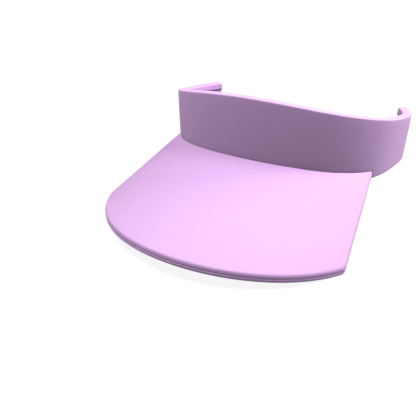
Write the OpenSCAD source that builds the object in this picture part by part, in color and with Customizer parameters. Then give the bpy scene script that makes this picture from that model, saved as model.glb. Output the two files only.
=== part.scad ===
// Open-back clip-on sun visor. A padded, fabric-covered band holds the head like a spring clip,
// and a stiffened bill is seamed into its lower front edge.
// +X is to the wearer's left, -Y is forward and +Z is up. The origin is in the middle of the head
// opening, where the arms are widest apart, level with the lower edge of the arms.

/* [Band plan] */
// Radius of the forehead arc on the band's outer face
front_r = 98; // [90:1:110]
// Angle of the forehead arc, from the centre line to one side
front_angle = 23; // [20:1:26]
// Radius of each temple arc
temple_r = 62; // [58:1:68]
// Angle of each temple arc
temple_angle = 54; // [50:1:58]
// Radius of each arm behind the temple
arm_r = 165; // [130:5:220]
// Angle of each arm's arc
arm_angle = 6; // [4:1:9]
// Radius of the inward curl at each tip
tip_r = 38; // [34:1:44]
// Angle of the inward curl at each tip
tip_angle = 41; // [34:1:44]

/* [Band section] */
// Height of the band's top edge at the forehead
front_h = 48; // [44:1:54]
// Height of the band's top edge at the tips
tip_h = 28; // [28:1:34]
// Rounding of the band's padded edges
edge_r = 1.2; // [0.8:0.1:1.8]
// Height of the hems turned onto the inner face
hem_h = 5; // [4:0.5:6]
// Height of the seam allowance turned up inside the root seam
seam_h = 4; // [3:0.5:5]
// How far short of the bill's sides the sweatband ends
sweatband_setback = 3; // [2.5:0.5:4]

/* [Bill] */
// Length of band from the centre line to where a side of the bill leaves it
bill_reach = 81; // [76:1:84]
// Angle at which the bill's sides spread
bill_spread = 7; // [4:1:9]
// How far the bill's nose stands ahead of the band
bill_out = 80; // [70:1:90]
// Radius of the bill's front edge in plan
bill_front_r = 87; // [84:1:94]
// Radius of the corners between the sides and the front edge
corner_r = 6; // [4:0.5:9]
// How much higher the root seam is at its centre than at its sides
root_arch = 7; // [4:0.5:8]
// Drop from the centre of the root seam to the nose
nose_drop = 20; // [14:1:26]
// Drop from the sides of the root seam to the corners
corner_drop = 21.5; // [16:0.5:27]

/* [Plies] */
// Thickness of the cover fabric
fabric_t = 0.5; // [0.4:0.05:0.6]
// Thickness of the foam over the board
top_foam_t = 1.2; // [0.9:0.1:1.5]
// Thickness of the foam under the board
under_foam_t = 0.9; // [0.7:0.1:1.2]
// Thickness of the moulded board
board_t = 1.6; // [1.2:0.1:2]
// Thickness of the board's upstand inside the band
upstand_t = 0.9; // [0.8:0.1:1.2]
// Thickness of the foam behind the spring strip
inner_foam_t = 0.9; // [0.7:0.1:1.2]
// Thickness of the towelling sweatband
towel_t = 1.3; // [1:0.1:1.6]
// Gap left between neighbouring plies
ply_gap = 0.05; // [0.03:0.01:0.07]

/* [Spring strip] */
// Thickness of the spring strip
strip_t = 0.9; // [0.7:0.1:1.1]
// Width of the spring strip
strip_w = 16; // [14:0.5:17]
// Height of the strip's lower edge
strip_z = 8.4; // [8.4:0.1:9]
// Rounding of the strip's ends
strip_end_r = 5; // [3:0.5:6]
// Distance from the strip's end to the end of the band
strip_margin = 3; // [2:0.5:5]
// Clearance on each face of the strip
strip_gap = 0.1; // [0.08:0.01:0.15]
// Length of the soft block in each arm's end
block_len = 14; // [11:1:18]

/* [Rivets] */
// Diameter of the rivet shanks
rivet_d = 3; // [2.4:0.2:3.6]
// Diameter of the hole through each tubular rivet
rivet_hole_d = 1.6; // [1:0.2:1.8]
// Diameter of the rivet heads
rivet_head_d = 6; // [5:0.5:7]
// Thickness of the rivet heads
rivet_head_t = 0.4; // [0.3:0.05:0.5]
// Distance between rivets along the band
rivet_pitch = 26; // [20:1:30]
// Height of the rivets above the strip's lower edge
rivet_rise = 11.8; // [11.6:0.1:12.4]
// Clearance round shanks and heads
rivet_gap = 0.1; // [0.05:0.05:0.2]

/* [Hidden] */
fabric_colour = [0.93, 0.75, 0.95];
lining_colour = [0.90, 0.73, 0.93];
towel_colour = [0.95, 0.82, 0.96];
foam_colour = [0.96, 0.95, 0.92];
board_colour = [0.93, 0.93, 0.94];
strip_colour = [0.85, 0.86, 0.88];
block_colour = [0.78, 0.72, 0.80];
rivet_colour = [0.75, 0.75, 0.77];

// ---- The band's plan: four tangent arcs on each side of the centre line ----

ARCS = [[front_r, front_angle], [temple_r, temple_angle], [arm_r, arm_angle], [tip_r, tip_angle]];
LAST_ARC = len(ARCS) - 1;
deg = 180 / PI;

// Direction that points out of the band where its heading is h
function outward(h) = [sin(h), -cos(h)];
function arc_length(k) = ARCS[k][0] * ARCS[k][1] / deg;
function arc_start(k) = k == 0 ? 0 : arc_start(k - 1) + arc_length(k - 1);
function arc_heading(k) = k == 0 ? 0 : arc_heading(k - 1) + ARCS[k - 1][1];
function chained_centre(k) =
    k == 0
        ? [0, 0]
        : chained_centre(k - 1) + (ARCS[k - 1][0] - ARCS[k][0]) * outward(arc_heading(k));

arc_starts = [for (k = [0:LAST_ARC + 1]) arc_start(k)];
arc_headings = [for (k = [0:LAST_ARC]) arc_heading(k)];
arc_centres = [for (k = [0:LAST_ARC]) chained_centre(k) - [0, chained_centre(LAST_ARC)[1]]];
half_length = arc_starts[LAST_ARC + 1];

// s runs along the band from the centre line, positive to +X, and d is the depth below its outer face
function arc_index(a, k = 0) = k == LAST_ARC || a <= arc_starts[k + 1] ? k : arc_index(a, k + 1);
function half_heading(a) =
    let (k = arc_index(a)) arc_headings[k] + (a - arc_starts[k]) / ARCS[k][0] * deg;
function heading(s) = sign(s) * half_heading(abs(s));
function band_xy(s, d) =
    let (
        a = abs(s),
        k = arc_index(a),
        p = arc_centres[k] + (ARCS[k][0] - d) * outward(half_heading(a))
    )
    [s < 0 ? -p[0] : p[0], p[1]];
function band_point(s, d, z) = concat(band_xy(s, d), z);

// Height of the band's top edge
function ease(t) = 3 * t * t - 2 * t * t * t;
function top_z(s) = front_h + (tip_h - front_h) * ease(abs(s) / half_length);

// ---- The stack of plies ----

bill_t = 2 * fabric_t + top_foam_t + board_t + under_foam_t + 4 * ply_gap;
half_t = bill_t / 2;
board_top = half_t - fabric_t - top_foam_t - 2 * ply_gap;
board_bottom = board_top - board_t;

allowance_d = 2 * fabric_t + 2 * ply_gap;              // inner face of the band cover's allowance
lip_d = allowance_d + ply_gap;                         // outer face of the bill cover's lip
upstand_d = lip_d + fabric_t + ply_gap;                // outer face of the board's upstand
strip_d = upstand_d + upstand_t + strip_gap;           // outer face of the strip
inner_foam_d = strip_d + strip_t + strip_gap;          // outer face of the inner foam
lining_d = inner_foam_d + inner_foam_t + ply_gap;      // outer face of the linings
hem_d = lining_d + fabric_t + ply_gap;                 // outer face of the hems
band_t = hem_d + fabric_t;
outer_foam_d = fabric_t + ply_gap;
outer_foam_end_d = upstand_d + upstand_t;
bevel = edge_r - fabric_t;                             // bevel of what lies inside the rounded edges

// ---- The bill's plan and its ruled surface from the root seam to the front edge ----

side_root = band_xy(bill_reach, 0);
side_dir = [sin(bill_spread), -cos(bill_spread)];
side_out = [cos(bill_spread), sin(bill_spread)];
front_centre = [0, band_xy(0, 0)[1] - bill_out + bill_front_r];

// Point where a line from p in direction dir leaves the circle round centre
function leaves(p, dir, centre, r) =
    let (q = p - centre, along = q * dir)
    p + dir * (sqrt(max(0, along ^ 2 - q * q + r ^ 2)) - along);

bill_corner = leaves(side_root, side_dir, front_centre, bill_front_r);
corner_centre = leaves(side_root - corner_r * side_out, side_dir, front_centre, bill_front_r - corner_r);
corner_dir = (corner_centre - front_centre) / (bill_front_r - corner_r);
corner_angle = atan2(bill_corner[0], front_centre[1] - bill_corner[1]);

root_side_z = bill_t;
root_centre_z = root_side_z + root_arch;
nose_z = root_centre_z - nose_drop;
corner_z = root_side_z - corner_drop;

// Height of the bill's upper face along the root seam and along the front edge
function root_z(s) = root_centre_z - root_arch * (band_xy(s, 0)[0] / side_root[0]) ^ 2;
function front_z(x) = nose_z + (corner_z - nose_z) * (x / bill_corner[0]) ^ 2;

// A column is one straight rule of the surface. u runs from -1 at the right side to 1 at the left
function column_front(u) =
    let (
        root = band_xy(u * bill_reach, 0),
        rim = front_centre + bill_front_r * outward(u * corner_angle),
        centre = [sign(u) * corner_centre[0], corner_centre[1]]
    )
    abs(u) * corner_angle > atan2(corner_dir[0], -corner_dir[1])
        ? leaves(root, (rim - root) / norm(rim - root), centre, corner_r)
        : rim;

// Distance of a plan point from the nearest free edge of the bill
function edge_distance(p) =
    let (q = [abs(p[0]), p[1]], r = q - corner_centre)
    r * side_dir > 0 && corner_dir * [r[1], -r[0]] > 0
        ? corner_r - norm(r)
        : min((side_root - q) * side_out, bill_front_r - norm(q - front_centre));

// Half thickness of a rounded edge with radius r, at distance e from the edge of the bill
rim_land = 0.15;
function rounded(e, r) =
    let (x = half_t - e - rim_land)
    x <= 0 ? r : sqrt(max(0, r * r - x * x));
function outer_half(e) = rounded(e, half_t);
function inner_half(e) = max(ply_gap / 2, rounded(e, half_t - fabric_t));

// Distances of the grid's lines from the free edges, then the even steps between them
EDGE_STEPS = [0, 0.4, 0.9, 1.4, 2.2, 4, 8];
FOAM_EDGE = 3;        // index of the foams' edge in EDGE_STEPS
BOARD_EDGE = 4;       // index of the board's edge in EDGE_STEPS
BILL_COLUMNS = 12;    // even steps from the side's last edge step to the centre line
BILL_ROWS = 6;        // even steps from the front's last edge step to the root

edge_pitch = 1 / cos(half_heading(bill_reach) - bill_spread);
edge_s = [for (e = EDGE_STEPS) bill_reach - e * edge_pitch];
last_edge_s = edge_s[len(edge_s) - 1];
function half_columns(first) =
    [
        for (k = [first:len(edge_s) - 1]) edge_s[k],
        for (k = [1:BILL_COLUMNS - 1]) last_edge_s * (1 - k / BILL_COLUMNS)
    ];
function reversed(list) = [for (k = [len(list) - 1:-1:0]) list[k]];
function mirrored(list) = concat([for (v = list) -v], 0, reversed(list));
function columns(first) = mirrored(half_columns(first));

// Shares of the way from root to rim, at which a column has its rows
function rows(u, first) =
    let (
        root = band_xy(u * bill_reach, 0),
        rim = column_front(u),
        length = norm(rim - root),
        slant = (rim - root) / length * outward(u * corner_angle),
        last = len(EDGE_STEPS) - 1,
        last_v = 1 - EDGE_STEPS[last] / slant / length
    )
    [
        for (k = [0:BILL_ROWS - 1]) last_v * k / BILL_ROWS,
        for (k = [last:-1:first]) 1 - EDGE_STEPS[k] / slant / length
    ];

// Points of one column on a face that lies off(e) above the bill's middle surface
function column_points(s, first, off) =
    let (
        u = s / bill_reach,
        root = band_xy(s, 0),
        rim = column_front(u),
        z0 = root_z(s) - half_t,
        z1 = front_z(rim[0]) - half_t
    )
    [
        for (v = rows(u, first))
            let (p = root + v * (rim - root))
            [p[0], p[1], z0 + v * (z1 - z0) + off(edge_distance(p))]
    ];

// Height, at the root seam, of a face that lies off(e) above the bill's middle surface
function seam_z(s, off) = root_z(s) - half_t + off(edge_distance(band_xy(s, 0)));
function in_bill(s) = abs(s) <= bill_reach;
function cover_foot(s) = in_bill(s) ? seam_z(s, function (e) outer_half(e)) + ply_gap : 0;
function under_root_top(s) =
    in_bill(s) ? seam_z(s, function (e) -inner_half(e)) + ply_gap : fabric_t + ply_gap;

// ---- Solids between two grids of points ----

// a is the upper or outer grid and b the lower or inner one, with columns to the right and rows downwards
module thick_sheet(a, b) {
    n = len(a);
    m = len(a[0]);
    function at(side, i, j) = (side * n + i) * m + j;
    function quad(p, q, r, s) = [[p, q, r], [p, r, s]];
    faces = [
        for (i = [0:n - 2], j = [0:m - 2]) each concat(
            quad(at(0, i, j), at(0, i + 1, j), at(0, i + 1, j + 1), at(0, i, j + 1)),
            quad(at(1, i, j + 1), at(1, i + 1, j + 1), at(1, i + 1, j), at(1, i, j))
        ),
        for (i = [0:n - 2]) each concat(
            quad(at(1, i, 0), at(1, i + 1, 0), at(0, i + 1, 0), at(0, i, 0)),
            quad(at(0, i, m - 1), at(0, i + 1, m - 1), at(1, i + 1, m - 1), at(1, i, m - 1))
        ),
        for (j = [0:m - 2]) each concat(
            quad(at(1, 0, j), at(0, 0, j), at(0, 0, j + 1), at(1, 0, j + 1)),
            quad(at(0, n - 1, j), at(1, n - 1, j), at(1, n - 1, j + 1), at(0, n - 1, j + 1))
        )
    ];
    polyhedron([for (grid = [a, b]) for (column = grid) each column], faces);
}

// Lays a section, a list of [depth, height] pairs, across the band at station s
function section_at(s, section) = [for (p = section) band_point(s, p[0], p[1])];

// Puts children on the band, with x along it, z up and -y pointing out of it
module at_band(s, d, z) {
    translate(band_point(s, d, z)) rotate([0, 0, heading(s)]) children();
}

// Carries a section drawn with depth along x and height along y round the tip's arc from s0 to s1
module tip_bar(s0, s1) {
    translate(arc_centres[LAST_ARC])
        rotate([0, 0, half_heading(s0) - 90])
            rotate_extrude(angle = half_heading(s1) - half_heading(s0), $fn = 180)
                translate([tip_r, 0])
                    mirror([1, 0, 0])
                        children();
}

// Stations of the band's soft parts: the bill's columns, the step beside the bill, then each arm
ARM_STEPS = 9;        // even steps from the bill to the end of the foams
TIP_STEPS = 4;        // even steps from the end of the foams to the end of the band
foot_step = 0.4;      // length of band over which the cover's foot drops beside the bill
foam_step = 1.5;      // length of band beside the bill after which foams and hem reach full height
foam_end = half_length - block_len - ply_gap;
arm_stations = [
    for (k = [ARM_STEPS:-1:0]) bill_reach + foam_step + (foam_end - bill_reach - foam_step) * k / ARM_STEPS
];
tip_stations = [for (k = [TIP_STEPS:-1:1]) foam_end + (half_length - foam_end) * k / TIP_STEPS];
foam_stations = mirrored(concat(arm_stations, bill_reach + foot_step, half_columns(0)));
cover_stations = mirrored(concat(tip_stations, arm_stations, bill_reach + foot_step, half_columns(0)));

// ---- The bill ----

// Top edge of the board's upstand, an arch inside the band
upstand_end_s = edge_s[BOARD_EDGE];
upstand_crown = front_h - hem_h - root_centre_z;
upstand_low = 5;
function upstand_top(s) =
    root_z(s) + upstand_low + (upstand_crown - upstand_low) * sqrt(1 - min(1, abs(s) / upstand_end_s) ^ 2);

// Moulded board whose root is bent up into an upstand behind the band's front
module bill_board() {
    bend = board_t;
    upper = function (e) board_top;
    lower = function (e) board_bottom;
    function outer_root(s) =
        let (z = seam_z(s, upper))
        [
            [upstand_d, upstand_top(s)],
            [upstand_d, z + bend / 2],
            [upstand_d - bend / 6, z + bend / 6],
            [upstand_d - bend / 2, z]
        ];
    function inner_root(s) =
        let (z = seam_z(s, lower), d = upstand_d + upstand_t)
        [
            [d, upstand_top(s)],
            [d, z + bend],
            [d - bend * 0.3, z + bend * 0.3],
            [d - bend, z]
        ];
    color(board_colour)
        difference() {
            thick_sheet(
                [for (s = columns(BOARD_EDGE))
                    concat(section_at(s, outer_root(s)), column_points(s, BOARD_EDGE, upper))],
                [for (s = columns(BOARD_EDGE))
                    concat(section_at(s, inner_root(s)), column_points(s, BOARD_EDGE, lower))]
            );
            rivet_bores();
        }
}

// Foam laminated to the board's upper face
module bill_top_foam() {
    foam_ply(
        function (e) inner_half(e) - ply_gap,
        function (e) board_top + ply_gap
    );
}

// Foam laminated to the board's lower face
module bill_under_foam() {
    foam_ply(
        function (e) board_bottom - ply_gap,
        function (e) ply_gap - inner_half(e)
    );
}

module foam_ply(upper, lower) {
    root_d = fabric_t;
    color(foam_colour)
        thick_sheet(
            [for (s = columns(FOAM_EDGE))
                concat([band_point(s, root_d, seam_z(s, upper))], column_points(s, FOAM_EDGE, upper))],
            [for (s = columns(FOAM_EDGE))
                concat([band_point(s, root_d, seam_z(s, lower))], column_points(s, FOAM_EDGE, lower))]
        );
}

// Upper fabric. It rolls over the rim to the edge seam, and its root is turned up into a lip inside the band
module bill_top_cover() {
    outside = function (e) outer_half(e);
    inside = function (e) inner_half(e);
    color(fabric_colour)
        thick_sheet(
            [for (s = columns(0))
                let (z = seam_z(s, outside))
                concat(
                    section_at(s, [[lip_d, z + seam_h], [lip_d, z]]),
                    column_points(s, 0, outside)
                )],
            [for (s = columns(0))
                let (z = seam_z(s, inside))
                concat(
                    section_at(s, [[lip_d + fabric_t, seam_z(s, outside) + seam_h], [lip_d + fabric_t, z]]),
                    column_points(s, 0, inside)
                )]
        );
}

// Under fabric. Its root runs on below the band and closes the band's lower edge
module bill_under_cover() {
    root_d = lining_d - ply_gap;
    outside = function (e) -outer_half(e);
    inside = function (e) -inner_half(e);
    color(fabric_colour)
        thick_sheet(
            [for (s = columns(0))
                concat([band_point(s, root_d, seam_z(s, inside))], column_points(s, 0, inside))],
            [for (s = columns(0))
                concat([band_point(s, root_d, seam_z(s, outside))], column_points(s, 0, outside))]
        );
}

// ---- The spring strip and what holds it ----

RIVETS = [-2:2];
rivet_z = strip_z + rivet_rise;
strip_end = half_length - strip_margin;

strip_steps = ceil(strip_end / 3);
strip_sites = [for (k = [-strip_steps:strip_steps]) strip_end * k / strip_steps];

// Springy strip that runs from arm to arm and clips the visor to the head
module spring_strip() {
    color(strip_colour)
        difference() {
            translate([0, 0, strip_z])
                linear_extrude(strip_w)
                    polygon([
                        for (s = strip_sites) band_xy(s, strip_d),
                        for (s = reversed(strip_sites)) band_xy(s, strip_d + strip_t)
                    ]);
            for (side = [0, 1])
                mirror([side, 0, 0]) {
                    strip_corner(strip_z + strip_w - strip_end_r, 1);
                    strip_corner(strip_z + strip_end_r, -1);
                }
            rivet_bores();
        }
}

// Cuts one corner of the strip's end round. up is 1 for the upper corner and -1 for the lower one
module strip_corner(z, up) {
    overcut = 2;
    reach = strip_end_r + overcut;
    at_band(strip_end - strip_end_r, strip_d + strip_t + overcut, z)
        rotate([90, 0, 0])
            linear_extrude(strip_t + 2 * overcut)
                difference() {
                    translate([0, up > 0 ? 0 : -reach]) square(reach);
                    circle(strip_end_r, $fn = 64);
                }
}

// Tubular rivets that hold the board's upstand against the strip
module board_rivets() {
    outer_head_d = upstand_d - rivet_gap;
    inner_head_d = strip_d + strip_t + rivet_gap;
    color(rivet_colour)
        for (k = RIVETS)
            at_band(k * rivet_pitch, inner_head_d + rivet_head_t, rivet_z)
                rotate([90, 0, 0])
                    difference() {
                        union() {
                            cylinder(d = rivet_head_d, h = rivet_head_t, $fn = 48);
                            cylinder(d = rivet_d, h = inner_head_d - outer_head_d + 2 * rivet_head_t, $fn = 48);
                            translate([0, 0, inner_head_d - outer_head_d + rivet_head_t])
                                cylinder(d = rivet_head_d, h = rivet_head_t, $fn = 48);
                        }
                        translate([0, 0, -1])
                            cylinder(d = rivet_hole_d, h = band_t, $fn = 32);
                    }
}

// Holes for the rivet shanks
module rivet_bores() {
    for (k = RIVETS)
        at_band(k * rivet_pitch, band_t, rivet_z)
            rotate([90, 0, 0])
                cylinder(d = rivet_d + 2 * rivet_gap, h = band_t, $fn = 48);
}

// Pockets for the rivet heads, from depth d0 to d1
module rivet_pockets(d0, d1) {
    for (k = RIVETS)
        at_band(k * rivet_pitch, d1, rivet_z)
            rotate([90, 0, 0])
                cylinder(d = rivet_head_d + 4 * rivet_gap, h = d1 - d0, $fn = 48);
}

// Soft block that closes the left arm and sheathes the strip's end
module end_block() {
    clear = strip_gap;
    d0 = outer_foam_d + clear;
    d1 = lining_d - ply_gap;
    z0 = fabric_t + ply_gap;
    z1 = tip_h - fabric_t - ply_gap;
    color(block_colour)
        difference() {
            tip_bar(half_length - block_len, half_length - fabric_t - ply_gap)
                polygon([
                    [d0 + bevel, z0], [d1 - bevel, z0], [d1, z0 + bevel], [d1, z1 - bevel],
                    [d1 - bevel, z1], [d0 + bevel, z1], [d0, z1 - bevel], [d0, z0 + bevel]
                ]);
            tip_bar(half_length - block_len - 1, strip_end + clear)
                translate([strip_d - clear, strip_z - clear])
                    square([strip_t + 2 * clear, strip_w + 2 * clear]);
        }
}

module end_block_left() {
    end_block();
}

module end_block_right() {
    mirror([1, 0, 0]) end_block();
}

// ---- The band's soft parts ----

// Foam under the band's cover. It steps back over the board's upstand and stops above the root seam
module band_outer_foam() {
    foot = fabric_t + ply_gap;
    step_rise = 0.3;
    function low(s) =
        abs(s) < bill_reach + foam_step ? cover_foot(min(abs(s), bill_reach)) + seam_h + foot : foot;
    function high(s) = top_z(s) - fabric_t - 2 * ply_gap;
    function step_z(s) = in_bill(s)
        ? max(upstand_top(s) + ply_gap, low(s) + bevel + step_rise)
        : (low(s) + high(s)) / 2;
    function low_back(s) = in_bill(s) ? upstand_d - ply_gap : outer_foam_end_d;
    heights = function (s)
        [high(s), high(s) - bevel, step_z(s) + step_rise, step_z(s), low(s) + bevel, low(s)];
    face_d = [outer_foam_d + bevel, outer_foam_d, outer_foam_d, outer_foam_d, outer_foam_d, outer_foam_d + bevel];
    function face(s) = [for (k = [0:5]) [face_d[k], heights(s)[k]]];
    function back(s) = [for (k = [0:5]) [k < 3 ? outer_foam_end_d : low_back(s), heights(s)[k]]];
    color(foam_colour)
        difference() {
            thick_sheet(
                [for (s = foam_stations) section_at(s, face(s))],
                [for (s = foam_stations) section_at(s, back(s))]
            );
            rivet_pockets(upstand_d - rivet_head_t - 2 * rivet_gap, upstand_d + 1);
        }
}

// Foam behind the strip, with a channel that the strip lies in
module band_inner_foam() {
    channel_low = strip_z - ply_gap;
    channel_high = strip_z + strip_w + ply_gap;
    lap_d = outer_foam_end_d + ply_gap;
    back_d = inner_foam_d + inner_foam_t;
    function low(s) =
        abs(s) < bill_reach ? under_root_top(s)
        : abs(s) < bill_reach + foam_step ? cover_foot(bill_reach) + fabric_t + ply_gap
        : fabric_t + 2 * ply_gap;
    function high(s) = top_z(s) - fabric_t - 2 * ply_gap;
    heights = function (s) [high(s), channel_high + 0.1, channel_high, channel_low, channel_low - 0.1, low(s)];
    depths = [lap_d, lap_d, inner_foam_d, inner_foam_d, lap_d, lap_d];
    color(foam_colour)
        difference() {
            thick_sheet(
                [for (s = foam_stations)
                    section_at(s, [for (k = [0:5]) [depths[k], heights(s)[k]]])],
                [for (s = foam_stations)
                    section_at(s, [for (k = [0:5]) [back_d, heights(s)[k]]])]
            );
            rivet_pockets(strip_d, inner_foam_d + rivet_head_t + 2 * rivet_gap);
        }
}

// Outer fabric of the band, turned over its top edge, and over its lower edge behind the bill
module band_cover() {
    bend = 0.3;
    tight = 0.15;
    snug = 0.04;
    function rolled(s, t) =
        let (
            r = edge_r - t,
            h = top_z(s) - t,
            foot = cover_foot(s) + t,
            seam = in_bill(s),
            low_r = max((seam ? tight : edge_r) - t, snug),
            in_d = (seam ? allowance_d : band_t) - t,
            beside_bill = abs(s) >= bill_reach && abs(s) < bill_reach + foam_step,
            turn_z = cover_foot(s) + (beside_bill ? edge_r + bend : seam ? seam_h : hem_h),
            out_d = t,
            back_d = band_t - t
        )
        [
            [back_d, top_z(s) - hem_h],
            [back_d, h - r],
            [back_d - bend * r, h - bend * r],
            [back_d - r, h],
            [out_d + r, h],
            [out_d + bend * r, h - bend * r],
            [out_d, h - r],
            [out_d, foot + low_r],
            [out_d + bend * low_r, foot + bend * low_r],
            [out_d + low_r, foot],
            [in_d - low_r, foot],
            [in_d - bend * low_r, foot + bend * low_r],
            [in_d, foot + low_r],
            [in_d, turn_z]
        ];
    color(fabric_colour)
        thick_sheet(
            [for (s = cover_stations) section_at(s, rolled(s, 0))],
            [for (s = cover_stations) section_at(s, rolled(s, fabric_t))]
        );
}

// Towelling strip across the forehead. Its upper edge is tucked under the band's hem
sweatband_end = bill_reach - sweatband_setback;
module sweatband() {
    thin_d = lining_d + fabric_t;
    thick_d = lining_d + towel_t;
    function tuck_z(s) = top_z(s) - hem_h - ply_gap;
    function low(s) = root_z(s) - bill_t + 2 * ply_gap;
    heights = function (s) [
        top_z(s) - edge_r, tuck_z(s), tuck_z(s) - 0.4, low(s) + 1.2, low(s)
    ];
    depths = [thin_d, thin_d, thick_d, thick_d, thin_d + 0.3];
    sites = mirrored([sweatband_end, for (s = half_columns(0)) if (s < sweatband_end - 0.5) s]);
    color(towel_colour)
        thick_sheet(
            [for (s = sites) section_at(s, [for (k = [0:4]) [lining_d, heights(s)[k]]])],
            [for (s = sites) section_at(s, [for (k = [0:4]) [depths[k], heights(s)[k]]])]
        );
}

// Lining of the left arm. It runs on round the arm's end and closes it
module arm_lining() {
    flap_d = outer_foam_d;
    seen_d = lining_d + fabric_t;
    function low(s) =
        s < bill_reach ? root_z(s) - root_side_z + ply_gap
        : s < bill_reach + foam_step ? hem_h / 2
        : edge_r;
    function high(s) = top_z(s) - edge_r;
    function strip_of(s, d, grow = 0) = section_at(s, [[d, high(s) + grow], [d, low(s) - grow]]);
    sites = concat(
        sweatband_end + ply_gap,
        bill_reach - 0.4,
        bill_reach,
        reversed(arm_stations),
        reversed([for (k = [1:TIP_STEPS - 1]) tip_stations[k]])
    );
    function flap(s, from_d) =
        let (grow = bevel - ply_gap)
        [
            strip_of(s, from_d),
            strip_of(s, lining_d - bevel, grow),
            strip_of(s, flap_d + bevel, grow),
            strip_of(s, flap_d)
        ];
    color(lining_colour)
        thick_sheet(
            concat([for (s = sites) strip_of(s, lining_d)], flap(half_length - fabric_t, lining_d)),
            concat([for (s = sites) strip_of(s, seen_d)], flap(half_length, seen_d))
        );
}

module arm_lining_left() {
    arm_lining();
}

module arm_lining_right() {
    mirror([1, 0, 0]) arm_lining();
}

bill_board();
bill_top_foam();
bill_under_foam();
bill_top_cover();
bill_under_cover();
spring_strip();
board_rivets();
band_outer_foam();
band_inner_foam();
band_cover();
sweatband();
arm_lining_left();
arm_lining_right();
end_block_left();
end_block_right();
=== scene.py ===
"""Open-back sun visor in lilac cloth, dressed over its packed construction.

The sections follow the bench: the stiff parts and foams, the band's cloth, the bill's cloth, the
linings and sweatband, the sewing, and last the studio.
"""

import math

import bmesh
import bpy
import numpy as np
from mathutils import Matrix, Vector


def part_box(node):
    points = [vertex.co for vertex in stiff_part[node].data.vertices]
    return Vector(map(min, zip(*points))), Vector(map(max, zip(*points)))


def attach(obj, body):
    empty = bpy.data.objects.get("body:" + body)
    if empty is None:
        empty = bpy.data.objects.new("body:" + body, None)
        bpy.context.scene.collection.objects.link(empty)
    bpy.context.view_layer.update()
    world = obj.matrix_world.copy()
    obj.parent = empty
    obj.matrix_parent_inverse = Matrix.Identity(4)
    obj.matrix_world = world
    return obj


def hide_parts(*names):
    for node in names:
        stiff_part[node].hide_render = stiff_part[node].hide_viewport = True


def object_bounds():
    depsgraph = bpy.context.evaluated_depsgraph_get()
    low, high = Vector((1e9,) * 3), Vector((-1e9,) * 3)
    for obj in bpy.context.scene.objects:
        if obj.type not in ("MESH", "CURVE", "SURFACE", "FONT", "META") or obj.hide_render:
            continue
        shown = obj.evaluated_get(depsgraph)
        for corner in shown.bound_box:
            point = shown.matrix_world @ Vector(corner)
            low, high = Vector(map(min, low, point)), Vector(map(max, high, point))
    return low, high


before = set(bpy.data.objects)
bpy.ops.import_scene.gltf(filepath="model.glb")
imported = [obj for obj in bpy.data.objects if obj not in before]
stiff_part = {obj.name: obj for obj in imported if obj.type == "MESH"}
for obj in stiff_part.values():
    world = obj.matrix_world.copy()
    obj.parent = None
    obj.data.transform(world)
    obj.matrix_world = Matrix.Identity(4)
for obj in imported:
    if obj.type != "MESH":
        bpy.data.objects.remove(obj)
cad_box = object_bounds()
MM = 0.001

# ---- Bill board ------------------------------------------------------------------------------
# One injection moulding of white polyethylene, 1.6 mm thick, arched like the bill and bent up at
# its root. The mould leaves a fine spark-eroded grain and faint flow lines from its gate.
BOARD_WHITE = (0.86, 0.86, 0.87, 1)
BOARD_SHADE = (0.76, 0.77, 0.79, 1)
BOARD_SURFACE = (0.35 * MM, 14 * MM, 0.48)  # mould grain, flow lines and roughness


def add(tree, kind, feeds=None, **settings):
    """One node of a tree, fed by number or name with nodes, their outputs or plain values"""
    node = tree.nodes.new(kind)
    for name, value in settings.items():
        setattr(node, name, value)
    for name, value in (feeds or {}).items():
        if isinstance(value, bpy.types.Node):
            value = value.outputs[0]
        if isinstance(value, bpy.types.NodeSocket):
            tree.links.new(value, node.inputs[name])
        else:
            node.inputs[name].default_value = value
    return node


def new_finish(name, **plain):
    """A material with its tree and its shader, whose plain sockets are set"""
    made = bpy.data.materials.new(name)
    made.use_nodes = True
    shader = made.node_tree.nodes["Principled BSDF"]
    for socket, value in plain.items():
        shader.inputs[socket.replace("_", " ")].default_value = value
    return made, made.node_tree, shader


def own_place(tree):
    return add(tree, "ShaderNodeTexCoord").outputs["Object"]


def noise(tree, place, size, detail=3.0, stretch=(1, 1, 1)):
    """Cloudy variation whose patches are about size across"""
    laid = add(tree, "ShaderNodeMapping", {"Vector": place, "Scale": [s / size for s in stretch]})
    feeds = {"Vector": laid, "Scale": 1.0, "Detail": detail}
    return add(tree, "ShaderNodeTexNoise", feeds).outputs["Fac"]


def coloured(tree, shader, share, first, second):
    """Base colour that goes from first to second with share"""
    feeds = {0: share, 6: first, 7: second}
    mixed = add(tree, "ShaderNodeMix", feeds, data_type="RGBA").outputs[2]
    tree.links.new(mixed, shader.inputs["Base Color"])


def spread(tree, share, low, high):
    """A number from low to high as share goes from a quarter to three quarters"""
    feeds = {"Value": share, "From Min": 0.25, "From Max": 0.75, "To Min": low, "To Max": high}
    return add(tree, "ShaderNodeMapRange", feeds).outputs[0]


def raised(tree, shader, height, depth):
    """Relief on a finish, depth deep where height goes from 0 to 1"""
    bump = add(tree, "ShaderNodeBump", {"Height": height, "Distance": depth})
    tree.links.new(bump.outputs[0], shader.inputs["Normal"])


def moulded_finish(name, light, shade, grain, flow, roughness):
    """Moulded plastic: fine mould grain, with slow changes of tone and gloss along the flow"""
    made, tree, shader = new_finish(name, Specular_IOR_Level=0.4)
    place = own_place(tree)
    streaks = noise(tree, place, flow, 2.0, (1, 0.3, 1))
    coloured(tree, shader, streaks, shade, light)
    gloss = spread(tree, streaks, roughness - 0.06, roughness + 0.06)
    tree.links.new(gloss, shader.inputs["Roughness"])
    raised(tree, shader, noise(tree, place, grain), grain / 8)
    return made


def give_finish(piece, made):
    piece.data.materials.clear()
    piece.data.materials.append(made)


give_finish(
    stiff_part["bill_board"],
    moulded_finish("white_board", BOARD_WHITE, BOARD_SHADE, *BOARD_SURFACE),
)

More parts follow.
